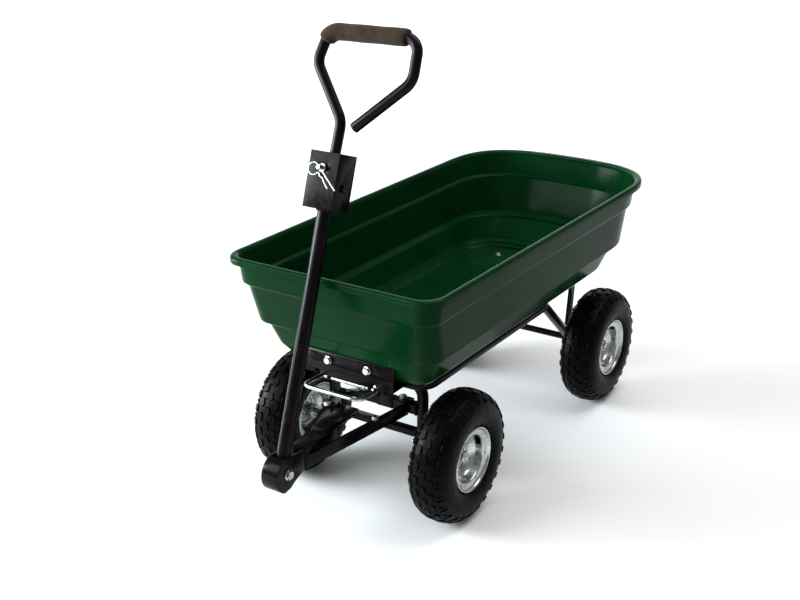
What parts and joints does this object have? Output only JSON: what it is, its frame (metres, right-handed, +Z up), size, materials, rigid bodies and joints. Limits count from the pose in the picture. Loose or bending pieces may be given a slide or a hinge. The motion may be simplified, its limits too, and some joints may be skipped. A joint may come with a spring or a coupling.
{
  "type": "garden dump cart",
  "caption": "Four-wheel garden cart with a moulded dump tub, pneumatic tyres, a steered front axle and a pull handle with a folding D grip.",
  "frame": {"origin": "on the ground, below the centre of the cart's bounding box", "axes": "+Z up, +Y from the handle end to the rear of the tub, +X to the cart's right seen from the handle"},
  "size_m": [0.46, 1.16, 0.924],
  "materials": {
    "tub_plastic": "glossy moulded polyethylene",
    "black_paint": "gloss powder coat",
    "zinc": "bright zinc plate",
    "tyre_rubber": "semi-gloss sidewall",
    "tube_rubber": "matte",
    "grip_foam": "matte foam"
  },
  "bodies": {
    "chassis": {"chassis_frame": "black_paint", "rear_axle": "zinc", "hinge_rod": "zinc", "kingpin_bolt": "zinc", "kingpin_nut": "zinc", "rear_right_axle_nut": "zinc", "rear_left_axle_nut": "zinc"},
    "steering": {"axle_hoop": "black_paint", "tongue": "black_paint", "tongue_bolt_left": "zinc", "tongue_bolt_right": "zinc", "stub_axle_left": "zinc", "stub_axle_right": "zinc", "thrust_washer": "zinc", "front_right_axle_nut": "zinc", "front_left_axle_nut": "zinc"},
    "handle": {"handle_yoke": "black_paint", "handle_stem": "black_paint", "hitch_box": "black_paint", "fold_bolt": "black_paint", "fold_nut": "black_paint", "pivot_bolt": "zinc", "pivot_nut": "zinc"},
    "d_grip": {"d_handle": "black_paint", "grip": "grip_foam"},
    "hitch_pin": {"hitch_pin": "zinc"},
    "r_clip": {"r_clip": "zinc"},
    "tub": {"tub": "tub_plastic", "latch_crossbar": "black_paint", "crossbar_bolt_left": "zinc", "crossbar_bolt_right": "zinc", "hinge_bracket": "black_paint", "floor_bolt_left": "zinc", "floor_bolt_right": "zinc", "latch_spring": "zinc"},
    "release": {"release_bail": "zinc"},
    "front_right_wheel": {"front_right_tyre": "tyre_rubber", "front_right_inner_tube": "tube_rubber", "front_right_rim_outer": "zinc", "front_right_rim_inner": "zinc", "front_right_hub": "zinc"},
    "front_left_wheel": {"front_left_tyre": "tyre_rubber", "front_left_inner_tube": "tube_rubber", "front_left_rim_outer": "zinc", "front_left_rim_inner": "zinc", "front_left_hub": "zinc"},
    "rear_right_wheel": {"rear_right_tyre": "tyre_rubber", "rear_right_inner_tube": "tube_rubber", "rear_right_rim_outer": "zinc", "rear_right_rim_inner": "zinc", "rear_right_hub": "zinc"},
    "rear_left_wheel": {"rear_left_tyre": "tyre_rubber", "rear_left_inner_tube": "tube_rubber", "rear_left_rim_outer": "zinc", "rear_left_rim_inner": "zinc", "rear_left_hub": "zinc"}
  },
  "joints": [
    {"name": "steering", "type": "hinge", "parent": "chassis", "child": "steering", "pos_m": [0, -0.243, 0.25], "axis": [0, 0, 1], "range_deg": [-18, 18]},
    {"name": "front_right_spin", "type": "hinge", "parent": "steering", "child": "front_right_wheel", "pos_m": [0.18, -0.243, 0.13], "axis": [1, 0, 0], "continuous": true},
    {"name": "front_left_spin", "type": "hinge", "parent": "steering", "child": "front_left_wheel", "pos_m": [-0.18, -0.243, 0.13], "axis": [1, 0, 0], "continuous": true},
    {"name": "rear_right_spin", "type": "hinge", "parent": "chassis", "child": "rear_right_wheel", "pos_m": [0.18, 0.381, 0.13], "axis": [1, 0, 0], "continuous": true},
    {"name": "rear_left_spin", "type": "hinge", "parent": "chassis", "child": "rear_left_wheel", "pos_m": [-0.18, 0.381, 0.13], "axis": [1, 0, 0], "continuous": true},
    {"name": "handle_pivot", "type": "hinge", "parent": "steering", "child": "handle", "pos_m": [0, -0.5465, 0.181], "axis": [1, 0, 0], "range_deg": [0, 105]},
    {"name": "handle_fold", "type": "hinge", "parent": "handle", "child": "d_grip", "pos_m": [0, -0.3871, 0.66018], "axis": [-1, 0, 0], "range_deg": [0, 90]},
    {"name": "hitch_pin_pull", "type": "slide", "parent": "handle", "child": "hitch_pin", "axis": [0, -0.9489, 0.3156], "range_m": [0, 0.04]},
    {"name": "r_clip_pull", "type": "slide", "parent": "hitch_pin", "child": "r_clip", "axis": [-0.7413, 0.2119, 0.6369], "range_m": [0, 0.035]},
    {"name": "tub_dump", "type": "hinge", "parent": "chassis", "child": "tub", "pos_m": [0, 0.398, 0.27], "axis": [-1, 0, 0], "range_deg": [0, 70]},
    {"name": "release", "type": "hinge", "parent": "tub", "child": "release", "pos_m": [0, -0.335, 0.2695], "axis": [-1, 0, 0], "range_deg": [0, 30], "stiffness_Nm_per_rad": 0.3, "springref_deg": -5.73}
  ]
}
